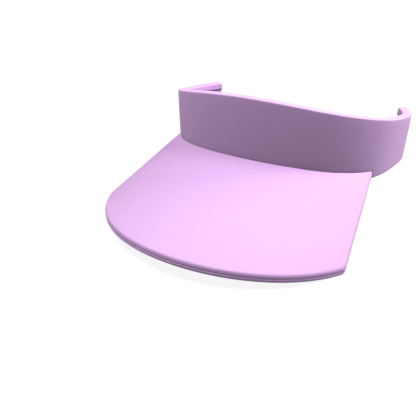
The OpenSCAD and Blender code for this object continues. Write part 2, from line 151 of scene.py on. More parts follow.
# ---- Spring strip, rivets and end blocks -----------------------------------------------------
# The strip is die cut from natural acetal sheet and springs the band shut. Five tubular aluminium
# rivets hold the board to it, and a soft moulded block sheathes each of its ends.
STRIP_LIGHT = (0.74, 0.76, 0.78, 1)
STRIP_SHADE = (0.66, 0.68, 0.71, 1)
STRIP_SURFACE = (0.5 * MM, 9 * MM, 0.36)
BLOCK_LIGHT = (0.58, 0.47, 0.60, 1)
BLOCK_SHADE = (0.50, 0.40, 0.52, 1)
BLOCK_SURFACE = (0.4 * MM, 6 * MM, 0.72)
RIVET_BRIGHT = (0.80, 0.80, 0.82, 1)
RIVET_DULL = (0.58, 0.58, 0.60, 1)
RIVET_SCUFF = 0.6 * MM


def drawn_metal(name, bright, dull, grain):
    """Drawn aluminium with fine scuffs"""
    made, tree, shader = new_finish(name, Metallic=1.0)
    scuffs = noise(tree, own_place(tree), grain, 6.0, (1, 1, 0.25))
    coloured(tree, shader, scuffs, dull, bright)
    tree.links.new(spread(tree, scuffs, 0.26, 0.44), shader.inputs["Roughness"])
    raised(tree, shader, scuffs, grain / 20)
    return made


give_finish(
    stiff_part["spring_strip"],
    moulded_finish("natural_acetal", STRIP_LIGHT, STRIP_SHADE, *STRIP_SURFACE),
)
soft_block = moulded_finish("soft_block", BLOCK_LIGHT, BLOCK_SHADE, *BLOCK_SURFACE)
for side in ("left", "right"):
    give_finish(stiff_part[f"end_block_{side}"], soft_block)
give_finish(
    stiff_part["board_rivets"],
    drawn_metal("drawn_aluminium", RIVET_BRIGHT, RIVET_DULL, RIVET_SCUFF),
)

# ---- Foam plies ------------------------------------------------------------------------------
# Fine open-cell foam, flame-bonded to the board and laid inside and outside the strip. It gives
# the bill and the band their padded edges, and lies out of sight between the cloths.
FOAM_CREAM = (0.90, 0.88, 0.82, 1)
# the pores' colour is painted shade in the cells' hollows
FOAM_PORE_PAINTED_SHADE = (0.70, 0.67, 0.60, 1)
FOAM_CELL = 0.45 * MM


def open_cell_foam():
    made, tree, shader = new_finish("open_cell_foam", Roughness=0.95, Specular_IOR_Level=0.1)
    feeds = {"Vector": own_place(tree), "Scale": 1 / FOAM_CELL}
    depth = add(tree, "ShaderNodeTexVoronoi", feeds).outputs["Distance"]
    # darker towards each cell's centre, where the relief sinks: painted shade in the pores
    coloured(tree, shader, depth, FOAM_PORE_PAINTED_SHADE, FOAM_CREAM)
    raised(tree, shader, depth, FOAM_CELL / 3)
    return made


foam = open_cell_foam()
for ply in ("bill_top_foam", "bill_under_foam", "band_outer_foam", "band_inner_foam"):
    give_finish(stiff_part[ply], foam)

# ---- Band cover ------------------------------------------------------------------------------
# A strip of close lilac twill, half a millimetre thick with its tricot backing. It is wrapped over
# the foam, rolled over the top edge and hemmed on the inner face, and seamed down to the bill.
BAND_ARCS = (  # radius and sweep of the forehead, temple, arm and tip, from the centre line out
    (98 * MM, math.radians(23)),
    (62 * MM, math.radians(54)),
    (165 * MM, math.radians(6)),
    (38 * MM, math.radians(41)),
)
HALF_BAND = sum(radius * sweep for radius, sweep in BAND_ARCS)
band_low, band_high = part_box("band_cover")
BAND_FRONT = band_low.y
FOREHEAD_TOP = band_high.z
TIP_TOP = 28 * MM
BAND_THICK = 5.7 * MM
CLOTH = 0.5 * MM
EDGE_ROLL = 1.2 * MM         # radius of the padded edges next to the head
EDGE_CRISP = 0.75 * MM       # tighter radius of the pressed edges on the outer face
HEM = 5 * MM
SEAM_TURN = 4 * MM           # cloth turned up inside the root seam
SEAM_DEPTH = 1.1 * MM
SEAM_ROLL = 0.35 * MM        # radius at which the cloth turns in at the root seam
SEAM_ROLL_LEAST = 0.04 * MM  # what is left of that radius on the cloth's inner skin
PILLOW = 0.1 * MM            # how far the foam swells the outer face
BILL_REACH = 81 * MM         # from the centre line, along the band, to the side of the bill
BILL_THICK = 4.9 * MM
ROOT_ARCH = 7 * MM           # rise of the root seam from its sides to its centre
END_ROLL = 0.9 * MM          # softening of the arm's end
SECTION_TALL = 23 * MM       # height of the band at which a section's girth is measured
BESIDE_BILL = 0.4 * MM       # from the bill's side to the arm's first station
BAND_STEP = 1.35 * MM        # between stations over the bill, and then along the arms
ARM_STEP = 1.1 * MM
EDGE_STEPS, FACE_STEPS = 7, 12
LILAC = (0.667, 0.411, 0.742, 1)
# darker lilac: painted shade in the twill's grooves, and the darker side of the dye's clouds
LILAC_GROOVE_PAINTED_SHADE = (0.601, 0.360, 0.672, 1)
TWILL_RIB = 0.36 * MM
TWILL_CLOUD = 7 * MM
TWILL_FIBRE = 0.25 * MM
WAVE_RUN = {"X": 0.314, "Y": 0.314, "DIAGONAL": 0.444}  # one wave's run where its scale is 1


def facing(turn):
    """Plan directions turned from straight ahead towards +X"""
    return np.stack([np.sin(turn), -np.cos(turn)], axis=-1)


def band_plan(along):
    """Plan points of the band's outer face and the directions that point out of the band"""
    reach = np.abs(along)
    points = np.zeros((len(reach), 2))
    outward = np.zeros((len(reach), 2))
    start = heading = before = 0.0
    centre = np.array([0.0, BAND_FRONT])
    for radius, sweep in BAND_ARCS:
        centre = centre + (before - radius) * facing(heading)
        on_arc = reach >= start - 1e-9
        outward[on_arc] = facing(heading + (reach[on_arc] - start) / radius)
        points[on_arc] = centre + radius * outward[on_arc]
        start += radius * sweep
        heading += sweep
        before = radius
    mirrored = np.where(along < 0, -1.0, 1.0)
    points[:, 0] *= mirrored
    outward[:, 0] *= mirrored
    return points, outward


def band_top(along):
    share = np.abs(along) / HALF_BAND
    return FOREHEAD_TOP + (TIP_TOP - FOREHEAD_TOP) * (3 * share**2 - 2 * share**3)


side_root, side_outward = (v[0] for v in band_plan(np.array([BILL_REACH])))


def root_height(along):
    """Height of the bill's upper face along the root seam"""
    across = band_plan(along)[0][:, 0] / side_root[0]
    return BILL_THICK + ROOT_ARCH * (1 - across**2)


def stations(start, end, step):
    return np.linspace(start, end, max(2, round((end - start) / step) + 1))


def run_up(steps, axis=0):
    """Running total of steps, from nothing"""
    return np.insert(np.cumsum(steps, axis), 0, 0, axis)


def in_space(plan, height=0.0):
    """Plan points or directions with a height, or with one for each"""
    return np.column_stack([plan, np.broadcast_to(height, len(plan))])


def end_roll(along, end, radius):
    """How far cloth is drawn in as it rounds off at the end of a strip"""
    left = np.clip(radius - (end - np.abs(along)), 0, radius)
    return radius - np.sqrt(np.maximum(radius**2 - left**2, 0))


def line_mesh(name, points, traits, steps=None):
    """A line of vertices with named traits for the trees to follow, with its steps joined up"""
    count = len(points)
    steps = count - 1 if steps is None else steps
    edges = [(k, (k + 1) % count) for k in range(steps)]
    mesh = bpy.data.meshes.new(name)
    mesh.from_pydata([tuple(map(float, p)) for p in points], edges, [])
    for trait, values in traits.items():
        values = np.asarray(values, np.float32)
        kind, slot = ("FLOAT", "value") if values.ndim == 1 else ("FLOAT_VECTOR", "vector")
        mesh.attributes.new(trait, kind, "POINT").data.foreach_set(slot, values.ravel())
    return bpy.data.objects.new(name, mesh)


def new_tree(name, inputs):
    """A Geometry Nodes tree with its named inputs"""
    tree = bpy.data.node_groups.new(name, "GeometryNodeTree")
    tree.interface.new_socket("Geometry", in_out="INPUT", socket_type="NodeSocketGeometry")
    for label, kind in inputs.items():
        tree.interface.new_socket(label, in_out="INPUT", socket_type="NodeSocket" + kind)
    tree.interface.new_socket("Geometry", in_out="OUTPUT", socket_type="NodeSocketGeometry")
    return tree, tree.nodes.new("NodeGroupInput").outputs


def trait(tree, name, kind="FLOAT"):
    return add(tree, "GeometryNodeInputNamedAttribute", {"Name": name}, data_type=kind)


def worked(tree, operation, *terms):
    return add(tree, "ShaderNodeMath", dict(enumerate(terms)), operation=operation).outputs[0]


def scaled(tree, vector, share):
    return add(tree, "ShaderNodeVectorMath", {0: vector, "Scale": share}, operation="SCALE")


def vector_of(tree, **parts):
    return add(tree, "ShaderNodeCombineXYZ", parts)


def close_tree(tree, geometry, finish_of):
    """Ends a tree: real geometry, smooth, in its finish"""
    real = add(tree, "GeometryNodeRealizeInstances", {0: geometry})
    smooth = add(tree, "GeometryNodeSetShadeSmooth", {0: real})
    finished = add(tree, "GeometryNodeSetMaterial", {0: smooth, "Material": finish_of})
    out = tree.nodes.new("NodeGroupOutput")
    tree.links.new(finished.outputs[0], out.inputs[0])


def grow(name, guide, tree, **sizes):
    """The plain mesh that a tree makes along its guide, as a new piece"""
    modifier = guide.modifiers.new(tree.name, "NODES")
    modifier.node_group = tree
    for item in tree.interface.items_tree:
        if item.in_out == "INPUT" and item.name in sizes:
            modifier[item.identifier] = sizes[item.name]
    bpy.context.scene.collection.objects.link(guide)
    bpy.context.view_layer.update()
    settled = guide.evaluated_get(bpy.context.evaluated_depsgraph_get())
    mesh = bpy.data.meshes.new_from_object(settled)
    mesh.name = name
    bpy.data.objects.remove(guide)
    piece = bpy.data.objects.new(name, mesh)
    bpy.context.scene.collection.objects.link(piece)
    return piece


def facing_out(piece):
    """Closes doubled vertices and turns every face outwards"""
    shell = bmesh.new()
    shell.from_mesh(piece.data)
    bmesh.ops.remove_doubles(shell, verts=shell.verts, dist=0.002 * MM)
    bmesh.ops.recalc_face_normals(shell, faces=shell.faces)
    shell.to_mesh(piece.data)
    shell.free()
    return piece


def cloth_sweep():
    """Carries a section of cloth along the band.

    The section's rise puts a point at the band's foot (0) or top (1). Its tuck is how it moves
    where the bill is seamed in, and its away is the way out of the cloth, for rounding the ends.
    """
    tree, given = new_tree("cloth_sweep", {"Section": "Object", "Cloth": "Material"})
    line = add(tree, "GeometryNodeMeshToCurve", {0: given["Geometry"]})
    upright = add(tree, "GeometryNodeSetCurveNormal", {"Curve": line}, mode="Z_UP")
    section = add(tree, "GeometryNodeObjectInfo", {"Object": given["Section"]})
    outline = add(tree, "GeometryNodeMeshToCurve", {0: section.outputs["Geometry"]})
    swept = add(tree, "GeometryNodeCurveToMesh", {"Curve": upright, "Profile Curve": outline})
    foot, seamed = trait(tree, "foot"), trait(tree, "seamed")
    tall = worked(tree, "SUBTRACT", trait(tree, "top"), foot)
    height = worked(tree, "MULTIPLY_ADD", tall, trait(tree, "rise"), foot)
    tucked = scaled(tree, trait(tree, "tuck", "FLOAT_VECTOR"), seamed)
    drawn = scaled(tree, trait(tree, "away", "FLOAT_VECTOR"), trait(tree, "drawn"))
    drift = add(tree, "ShaderNodeVectorMath", {0: tucked, 1: drawn}, operation="SUBTRACT")
    shift = add(tree, "ShaderNodeSeparateXYZ", {0: drift}).outputs
    lift = vector_of(tree, Z=worked(tree, "ADD", height, shift["Y"]))
    sideways = scaled(tree, trait(tree, "inward", "FLOAT_VECTOR"), shift["X"])
    offset = add(tree, "ShaderNodeVectorMath", {0: lift, 1: sideways}, operation="ADD")
    moved = add(tree, "GeometryNodeSetPosition", {0: swept, "Offset": offset})
    taller = worked(tree, "SUBTRACT", tall, SECTION_TALL)
    girth = worked(tree, "MULTIPLY_ADD", taller, trait(tree, "climb"), trait(tree, "girth"))
    girth = worked(tree, "MULTIPLY_ADD", trait(tree, "slip"), seamed, girth)
    laid = vector_of(tree, X=trait(tree, "run"), Y=girth)
    feeds = {"Geometry": moved, "Name": "cloth", "Value": laid}
    kind = {"data_type": "FLOAT2", "domain": "CORNER"}
    close_tree(tree, add(tree, "GeometryNodeStoreNamedAttribute", feeds, **kind), given["Cloth"])
    return tree


def ribbed(tree, laid, direction, pitch, waver, finer=1.0):
    """Ribs or rows of the cloth, a pitch apart and a little uneven"""
    feeds = {"Vector": laid, "Scale": WAVE_RUN[direction] / pitch, "Distortion": waver}
    feeds.update({"Detail": 1.0, "Detail Scale": finer})
    return add(tree, "ShaderNodeTexWave", feeds, bands_direction=direction).outputs["Fac"]


def twill(name, light, groove_painted_shade, rib):
    """Close matt twill: slanted ribs crossed by its yarns, with the faint clouds of dyed cloth and
    painted shade in the grooves
    """
    made, tree, shader = new_finish(
        name, Roughness=0.88, Specular_IOR_Level=0.18, Sheen_Weight=0.12, Sheen_Roughness=0.5
    )
    laid = add(tree, "ShaderNodeUVMap", uv_map="cloth").outputs[0]
    ribs = ribbed(tree, laid, "DIAGONAL", rib, 1.2, 2.0)
    yarns = ribbed(tree, laid, "X", rib * 0.7, 1.0)
    crossed = worked(tree, "MULTIPLY", ribs, spread(tree, yarns, 0.7, 1.0))
    clouds = noise(tree, laid, TWILL_CLOUD, 4.0)
    fibres = noise(tree, laid, TWILL_FIBRE, 2.0)
    tone = worked(tree, "MULTIPLY_ADD", clouds, 0.25, worked(tree, "MULTIPLY", fibres, 0.15))
    share = worked(tree, "MULTIPLY_ADD", crossed, 0.6, tone)
    # painted shade: darker in the grooves between ribs and yarns, where the relief is low; the
    # clouds are the dye's own
    coloured(tree, shader, share, groove_painted_shade, light)
    raised(tree, shader, worked(tree, "MULTIPLY_ADD", fibres, 0.2, crossed), rib * 0.13)
    return made


def arc(centre, radius, start, end, steps):
    """Points of (depth, height) round a centre, in quarter turns, and the ways out from it"""
    turn = np.linspace(start, end, steps + 1) * math.pi / 2
    away = np.stack([np.cos(turn), np.sin(turn)], axis=1)
    return np.asarray(centre) + radius * away, away


def cover_skin(inset):
    """One skin of the band cover's section, from the hem's edge on the inner face to its other end.

    Each row is depth, height, rise, tuck in depth, tuck in height, away in depth, away in height.
    """
    roll, crisp = EDGE_ROLL - inset, EDGE_CRISP - inset
    seam_roll = max(SEAM_ROLL - inset, SEAM_ROLL_LEAST)
    inner = BAND_THICK - inset
    rows = []

    def place(points, away, rise, seamed=None):
        seamed = points if seamed is None else seamed
        for point, other, share in zip(points, seamed, np.broadcast_to(rise, len(points))):
            rows.append([*point, share, *(np.asarray(other) - point), *away])

    def edge(depth, height, radius, start):
        return arc((depth, height), radius, start, start + 1, EDGE_STEPS)[0]

    place([(inner, -HEM * share) for share in (1, 0.75, 0.5)], (1, 0), 1)
    place(edge(BAND_THICK - EDGE_ROLL, -EDGE_ROLL, roll, 0), (1, 1), 1)
    place(edge(EDGE_CRISP, -EDGE_CRISP, crisp, 1), (-1, 1), 1)
    share = np.linspace(1, 0, FACE_STEPS + 1)[1:-1]
    depth = inset - PILLOW * 4 * share * (1 - share)
    height = -EDGE_CRISP * share + EDGE_CRISP * (1 - share)
    seam_height = -EDGE_CRISP * share + SEAM_ROLL * (1 - share)
    seamed = np.column_stack([depth, seam_height])
    place(np.column_stack([depth, height]), (-1, 0), share, seamed)
    seamed = edge(SEAM_ROLL, SEAM_ROLL, seam_roll, 2)
    place(edge(EDGE_CRISP, EDGE_CRISP, crisp, 2), (-1, -1), 0, seamed)
    seamed = edge(SEAM_DEPTH - SEAM_ROLL, SEAM_ROLL, seam_roll, 3)
    place(edge(BAND_THICK - EDGE_ROLL, EDGE_ROLL, roll, 3), (1, -1), 0, seamed)
    hem = [(inner, HEM * share) for share in (0.5, 0.75, 1)]
    allowance = [(SEAM_DEPTH - inset, SEAM_TURN * share) for share in (0.5, 0.75, 1)]
    place(hem, (1, 0), 0, allowance)
    return np.array(rows)


def section_line(name, rows):
    """A closed section, with the traits that the sweep reads

    The girth is how far round the section the weave has run at each row, for a band that is
    SECTION_TALL high. The climb is how often it has crossed the band's height by then, and the
    slip is what the tuck adds.
    """
    depth, height = rows[:, 0], rows[:, 1]

    def girth(depth, height):
        return run_up(np.hypot(np.diff(depth), np.diff(height + rows[:, 2] * SECTION_TALL)))

    plain = girth(depth, height)
    return line_mesh(
        name,
        in_space(-rows[:, :2]),
        {
            "rise": rows[:, 2],
            "tuck": in_space(rows[:, 3:5]),
            "away": in_space(rows[:, 5:7]),
            "girth": plain,
            "slip": girth(depth + rows[:, 3], height + rows[:, 4]) - plain,
            "climb": run_up(np.abs(np.diff(rows[:, 2]))),
        },
        steps=len(rows),
    )


def band_line(name, along, foot, top, seamed, drawn):
    """The line on the band's outer face that cloth is carried along"""
    points, outward = band_plan(along)
    return line_mesh(
        name,
        in_space(points),
        {
            "foot": foot,
            "top": top,
            "seamed": seamed,
            "drawn": drawn,
            "inward": in_space(-outward),
            "run": along,
        },
    )


def swept_cloth(name, line, section, cloth):
    """Cloth swept along a line, closed at both ends across its thickness"""
    piece = grow(name, line, sweep, Section=section, Cloth=cloth)
    count = len(section.data.vertices)
    shell = bmesh.new()
    shell.from_mesh(piece.data)
    shell.verts.ensure_lookup_table()
    laid = shell.loops.layers.uv["cloth"]
    for ring in (shell.verts[:count], shell.verts[-count:]):
        place_of = [vert.link_loops[0][laid].uv.copy() for vert in ring]
        for k in range(count // 2 - 1):
            face = shell.faces.new((ring[k], ring[k + 1], ring[-k - 2], ring[-k - 1]))
            face.smooth = False
            outer, after = place_of[k], place_of[k + 1]
            inner, before = outer + Vector((CLOTH, 0)), after + Vector((CLOTH, 0))
            for loop, place in zip(face.loops, (outer, after, before, inner)):
                loop[laid].uv = place
        for vert in ring:
            for edge in vert.link_edges:
                on_end = [face for face in edge.link_faces if not face.smooth]
                edge.smooth = len(on_end) != 1
    shell.to_mesh(piece.data)
    shell.free()
    facing_out(piece)
    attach(piece, "root")
    return piece


quarter_turn = np.linspace(0, math.pi / 2, 7)[1:]
one_arm = np.concatenate([
    stations(BILL_REACH + BESIDE_BILL, HALF_BAND - END_ROLL, ARM_STEP),
    HALF_BAND - END_ROLL * (1 - np.sin(quarter_turn)),
])
cover_run = np.concatenate([
    -one_arm[::-1], stations(-BILL_REACH, BILL_REACH, BAND_STEP), one_arm
])
in_bill = np.abs(cover_run) <= BILL_REACH + 1e-9
lilac_twill = twill("lilac_twill", LILAC, LILAC_GROOVE_PAINTED_SHADE, TWILL_RIB)
sweep = cloth_sweep()
cover_section = section_line(
    "cover_section", np.concatenate([cover_skin(0.0), cover_skin(CLOTH)[::-1]])
)
cover_line = band_line(
    "cover_line",
    cover_run,
    foot=np.where(in_bill, root_height(cover_run), 0.0),
    top=band_top(cover_run),
    seamed=in_bill.astype(float),
    drawn=end_roll(cover_run, HALF_BAND, END_ROLL),
)
band_cover = swept_cloth("band_cover_cloth", cover_line, cover_section, lilac_twill)
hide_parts("band_cover")


def strip_area(along, wide):
    """Flat area of a strip that is wide across at the stations along it"""
    return float(np.sum(np.diff(along) * (wide[1:] + wide[:-1]) / 2))


cut_over = BAND_THICK + HEM
cut_under = np.where(in_bill, SEAM_DEPTH + SEAM_TURN - root_height(cover_run), cut_over)

# ---- Bill covers -----------------------------------------------------------------------------
# Two pieces of the same twill, laid over and under the padded board. They are sewn together inside
# out, turned and pulled over it, so that a fine seam runs round the middle of the rounded rim.
BILL_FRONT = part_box("bill_top_cover")[0].y
BILL_SPREAD = math.radians(7)
FRONT_RADIUS = 87 * MM
CORNER_RADIUS = 6 * MM
NOSE_DROP = 20 * MM          # from the centre of the root seam to the nose
CORNER_DROP = 21.5 * MM      # from the sides of the root seam to the corners
RIM_DEPTH = 1.4 * MM         # width of the rounding along the rim
RIM_SQUARENESS = 3.2         # 2 is an ellipse, and more is squarer
SEAM_DIP = 0.1 * MM          # depth of the crease at the rim's seam
SEAM_SPAN = 0.3 * MM         # height over which each cover turns into the crease
LIP_DEPTH = 1.15 * MM        # where the upper cover turns up inside the band
UNDER_RUN = 4.6 * MM         # how far the under cover runs on below the band
BILL_COLUMNS, BILL_ROWS, RIM_STEPS = 64, 44, 12
SLOPE_STEP = 0.01 * MM

half_bill = BILL_THICK / 2
front_centre = np.array([0.0, BILL_FRONT + FRONT_RADIUS])
side_way = np.array([math.sin(BILL_SPREAD), -math.cos(BILL_SPREAD)])
side_out = np.array([math.cos(BILL_SPREAD), math.sin(BILL_SPREAD)])


def leaves_circle(point, way, centre, radius):
    """Where a line from point leaves a circle"""
    from_centre = point - centre
    along = from_centre @ way
    inside = max(0.0, along**2 - from_centre @ from_centre + radius**2)
    return point + way * (math.sqrt(inside) - along)


sharp_corner = leaves_circle(side_root, side_way, front_centre, FRONT_RADIUS)
corner_centre = leaves_circle(
    side_root - CORNER_RADIUS * side_out, side_way, front_centre, FRONT_RADIUS - CORNER_RADIUS
)
to_corner = (corner_centre - front_centre) / (FRONT_RADIUS - CORNER_RADIUS)
corner_angle = math.atan2(sharp_corner[0], front_centre[1] - sharp_corner[1])
nose_height = BILL_THICK + ROOT_ARCH - NOSE_DROP
corner_height = BILL_THICK - CORNER_DROP


def rim_height(x):
    """Height of the bill's upper face along its front edge"""
    return nose_height + (corner_height - nose_height) * (x / sharp_corner[0]) ** 2


def rule_end(share, root):
    """Where the rule from a root point meets the front edge or the rounded corner"""
    end = front_centre + FRONT_RADIUS * facing(share * corner_angle)
    if abs(share) * corner_angle <= math.atan2(to_corner[0], -to_corner[1]):
        return end
    side = np.array([math.copysign(1.0, share), 1.0])
    way = (end - root) / np.linalg.norm(end - root)
    return side * leaves_circle(side * root, side * way, corner_centre, CORNER_RADIUS)


def edge_distance(points):
    """Distance of plan points from the nearest free edge of the bill"""
    folded = np.stack([np.abs(points[..., 0]), points[..., 1]], axis=-1)
    from_corner = folded - corner_centre
    beside = from_corner @ side_way > 0
    ahead_of = to_corner[0] * from_corner[..., 1] - to_corner[1] * from_corner[..., 0] > 0
    plain = np.minimum(
        (side_root - folded) @ side_out,
        FRONT_RADIUS - np.linalg.norm(folded - front_centre, axis=-1),
    )
    return np.where(
        beside & ahead_of, CORNER_RADIUS - np.linalg.norm(from_corner, axis=-1), plain
    )


def rim_swell(distance):
    """Half thickness of the bill at a distance from its edge"""
    left = np.clip(1 - distance / RIM_DEPTH, 0, 1)
    return half_bill * (1 - left**RIM_SQUARENESS) ** (1 / RIM_SQUARENESS)


def eased_inward(points, swell):
    """Moves the outermost points of a cover in, so that the seam lies in a crease"""
    steps = np.eye(2) * SLOPE_STEP
    slope = np.stack(
        [edge_distance(points + step) - edge_distance(points - step) for step in steps], axis=-1
    ) / (2 * SLOPE_STEP)
    dip = SEAM_DIP * np.exp(-((swell / SEAM_SPAN) ** 2))
    return points + slope * dip[..., None]


rim_turn = np.linspace(0, math.pi / 2, RIM_STEPS + 1)
rim_steps = RIM_DEPTH * (1 - np.cos(rim_turn) ** (2 / RIM_SQUARENESS))
root_heading = math.atan2(side_outward[0], -side_outward[1])
side_columns = BILL_REACH - rim_steps / math.cos(root_heading - BILL_SPREAD)
middle_columns = np.linspace(-side_columns[-1], side_columns[-1], 2 * BILL_COLUMNS + 1)
bill_run = np.concatenate([-side_columns, middle_columns[1:-1], side_columns[::-1]])


def bill_sheet(name, side, hidden_rows):
    """The outer skin of one bill cover, on straight rules from the root seam to the free edge.

    side is 1 above and -1 below. Each hidden row inside the band has a depth and a rise.
    """
    roots, outward = band_plan(bill_run)
    columns = []
    for along, root, out in zip(bill_run, roots, outward):
        share = along / BILL_REACH
        end = rule_end(share, root)
        length = np.linalg.norm(end - root)
        slant = (end - root) / length @ facing(share * corner_angle)
        near_rim = 1 - rim_steps[::-1] / slant / length
        shares = np.concatenate([np.linspace(0, near_rim[0], BILL_ROWS + 1)[:-1], near_rim])
        points = root + shares[:, None] * (end - root)
        swell = rim_swell(edge_distance(points))
        root_z = root_height(np.array([along]))[0] - half_bill
        middle = root_z + shares * (rim_height(end[0]) - half_bill - root_z)
        points = eased_inward(points, swell)
        hidden = [
            [*(root - depth * out), root_z + side * swell[0] + rise] for depth, rise in hidden_rows
        ]
        columns.append(np.concatenate([hidden, in_space(points, middle + side * swell)]))
    return grid_piece(name, np.array(columns))


def grid_piece(name, grid):
    """A smooth sheet over a grid of points, with its cloth laid in metres along and across it"""
    wide, deep = grid.shape[:2]
    down = run_up(np.linalg.norm(np.diff(grid, axis=1), axis=2), 1)
    over = run_up(np.linalg.norm(np.diff(grid, axis=0), axis=2))
    over -= over[wide // 2]
    numbers = np.arange(wide * deep).reshape(wide, deep)
    quads = np.stack(
        [numbers[:-1, :-1], numbers[1:, :-1], numbers[1:, 1:], numbers[:-1, 1:]], axis=-1
    ).reshape(-1, 4)
    mesh = bpy.data.meshes.new(name)
    mesh.from_pydata(grid.reshape(-1, 3).tolist(), [], quads.tolist())
    laid = np.stack([over, down], axis=-1).reshape(-1, 2)[quads.ravel()]
    mesh.uv_layers.new(name="cloth").data.foreach_set("uv", laid.astype(np.float32).ravel())
    mesh.shade_smooth()
    piece = bpy.data.objects.new(name, mesh)
    bpy.context.scene.collection.objects.link(piece)
    return piece


def thickened(piece, thickness, outer_side):
    """Gives a sheet its thickness, keeping the face that shows where it is"""
    wall = piece.modifiers.new("wall", "SOLIDIFY")
    wall.thickness, wall.offset, wall.use_even_offset = thickness, outer_side, False
    bpy.context.view_layer.update()
    settled = piece.evaluated_get(bpy.context.evaluated_depsgraph_get())
    mesh = bpy.data.meshes.new_from_object(settled)
    piece.modifiers.clear()
    piece.data = mesh
    return facing_out(piece)


for name, side, hidden_rows in (
    ("bill_top_cover", 1, ((LIP_DEPTH, SEAM_TURN), (LIP_DEPTH, SEAM_TURN / 2), (LIP_DEPTH, 0))),
    ("bill_under_cover", -1, ((UNDER_RUN, 0), (UNDER_RUN / 2, 0))),
):
    cover = bill_sheet(name + "_cloth", side, hidden_rows)
    thickened(cover, CLOTH, side)
    give_finish(cover, lilac_twill)
    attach(cover, "root")
    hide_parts(name)

# ---- Arm linings -----------------------------------------------------------------------------
# Smooth tricot strips on the inner faces of the two arms. Each starts at the sweatband, lies under
# the hems and turns across the arm's end, where it is sewn in as a closing flap.
LINING_DEPTH = 4.65 * MM
SWEATBAND_REACH = 78 * MM
SWEATBAND_FOOT = 0.2 * MM    # from the underside of the bill's root to the sweatband
FLAP_BACK = 0.08 * MM        # how far the flap lies inside the arm's rounded end
FLAP_OUTER = 0.8 * MM        # depth at which the flap meets the cover's outer face
FLAP_INSET = 0.8 * MM        # from the arm's edges to the flap's
FLAP_CORNER = 0.8 * MM
LINING_INSET = 1.3 * MM      # from the arm's edges to the lining's
LINING_STEP = 1.1 * MM
FLAP_STEP = 0.5 * MM
TURN_STEPS, STRIP_STEPS = 6, 16  # of a strip's section over each edge and up each face
TRICOT_WALE = 0.5 * MM
TRICOT_CLOUD = 5 * MM
LINING_LILAC = (0.632, 0.390, 0.702, 1)
# painted shade for the knit's hollows between wales and loops
LINING_GROOVE_PAINTED_SHADE = (0.538, 0.324, 0.605, 1)


def tricot(name, light, groove_painted_shade, wale):
    """Fine warp knit: rows of small slanted loops in upright wales, with painted shade between them
    """
    made, tree, shader = new_finish(
        name, Roughness=0.8, Specular_IOR_Level=0.2, Sheen_Weight=0.2, Sheen_Roughness=0.4
    )
    laid = add(tree, "ShaderNodeUVMap", uv_map="cloth").outputs[0]
    wales = ribbed(tree, laid, "X", wale, 0.6)
    loops = ribbed(tree, laid, "Y", wale * 0.7, 0.8)
    knit = worked(tree, "MULTIPLY", spread(tree, wales, 0.4, 1.0), spread(tree, loops, 0.5, 1.0))
    clouds = noise(tree, laid, TRICOT_CLOUD, 3.0)
    share = worked(tree, "MULTIPLY_ADD", clouds, 0.3, worked(tree, "MULTIPLY", knit, 0.7))
    # painted shade: darker between the wales and loops, where the relief is low; the clouds are the
    # dye's own
    coloured(tree, shader, share, groove_painted_shade, light)
    raised(tree, shader, knit, wale * 0.15)
    return made


def strip_skin(front, back):
    """A plain strip's section from front to back depth, with rounded upper and lower edges"""
    radius = (back - front) / 2
    middle = (front + back) / 2
    rows = []
    over, away = arc((middle, -radius), radius, 0, 2, TURN_STEPS)
    rows += [[*p, 1, 0, 0, *out] for p, out in zip(over, away)]
    for share in np.linspace(1, 0, STRIP_STEPS + 1)[1:-1]:
        rows.append([front, 0, share, 0, 0, -1, 0])
    under, away = arc((middle, radius), radius, 2, 4, TURN_STEPS)
    rows += [[*p, 0, 0, 0, *out] for p, out in zip(under, away)]
    for share in np.linspace(0, 1, STRIP_STEPS + 1)[1:-1]:
        rows.append([back, 0, share, 0, 0, 1, 0])
    return np.roll(rows, -TURN_STEPS // 2, axis=0)  # the cloth's laying starts on the upper edge


def lining_line(mirror):
    """The lining's way along the arm and round its end, as a line for the sweep"""
    last = HALF_BAND - FLAP_BACK - CLOTH
    points, out = band_plan(stations(SWEATBAND_REACH, last - FLAP_CORNER, LINING_STEP))
    points = points - LINING_DEPTH * out
    end, end_out = (v[0] for v in band_plan(np.array([last])))
    onward = np.array([-end_out[1], end_out[0]])
    pivot = end - (LINING_DEPTH - FLAP_CORNER) * end_out - FLAP_CORNER * onward
    turn = quarter_turn[:, None]
    corner = pivot + FLAP_CORNER * (np.sin(turn) * onward - np.cos(turn) * end_out)
    across = stations(0, LINING_DEPTH - FLAP_CORNER - FLAP_OUTER, FLAP_STEP)[1:, None]
    flap = corner[-1] + across * end_out
    way = np.concatenate([points, corner, flap])
    run = run_up(np.linalg.norm(np.diff(way, axis=0), axis=1))
    nearest = np.minimum(SWEATBAND_REACH + run, HALF_BAND)
    inset = np.where(run > run[len(points)], FLAP_INSET, LINING_INSET)
    over_bill = root_height(nearest) - BILL_THICK + SWEATBAND_FOOT
    foot = np.where(nearest < BILL_REACH, over_bill, inset)
    way[:, 0] *= mirror
    way, foot, nearest, inset, run = (v[::mirror] for v in (way, foot, nearest, inset, run))
    flat = np.zeros(len(way))
    return line_mesh(
        "lining_line",
        in_space(way),
        {
            "foot": foot,
            "top": band_top(nearest) - inset,
            "seamed": flat,
            "drawn": flat,
            "inward": np.zeros((len(way), 3)),
            "run": run,
        },
    )


lilac_tricot = tricot("lilac_tricot", LINING_LILAC, LINING_GROOVE_PAINTED_SHADE, TRICOT_WALE)
lining_section = section_line("lining_section", strip_skin(0, CLOTH))
arm_run = stations(SWEATBAND_REACH, HALF_BAND, MM)
lining_foot = np.where(arm_run < BILL_REACH, root_height(arm_run) - BILL_THICK, LINING_INSET)
lining_area = strip_area(arm_run, band_top(arm_run) - LINING_INSET - lining_foot)
lining_area += LINING_DEPTH * (TIP_TOP - 2 * FLAP_INSET)
linings = {}
for side, mirror in (("left", 1), ("right", -1)):
    lining = swept_cloth(
        f"arm_lining_{side}_cloth", lining_line(mirror), lining_section, lilac_tricot
    )
    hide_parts(f"arm_lining_{side}")
    linings[side] = lining

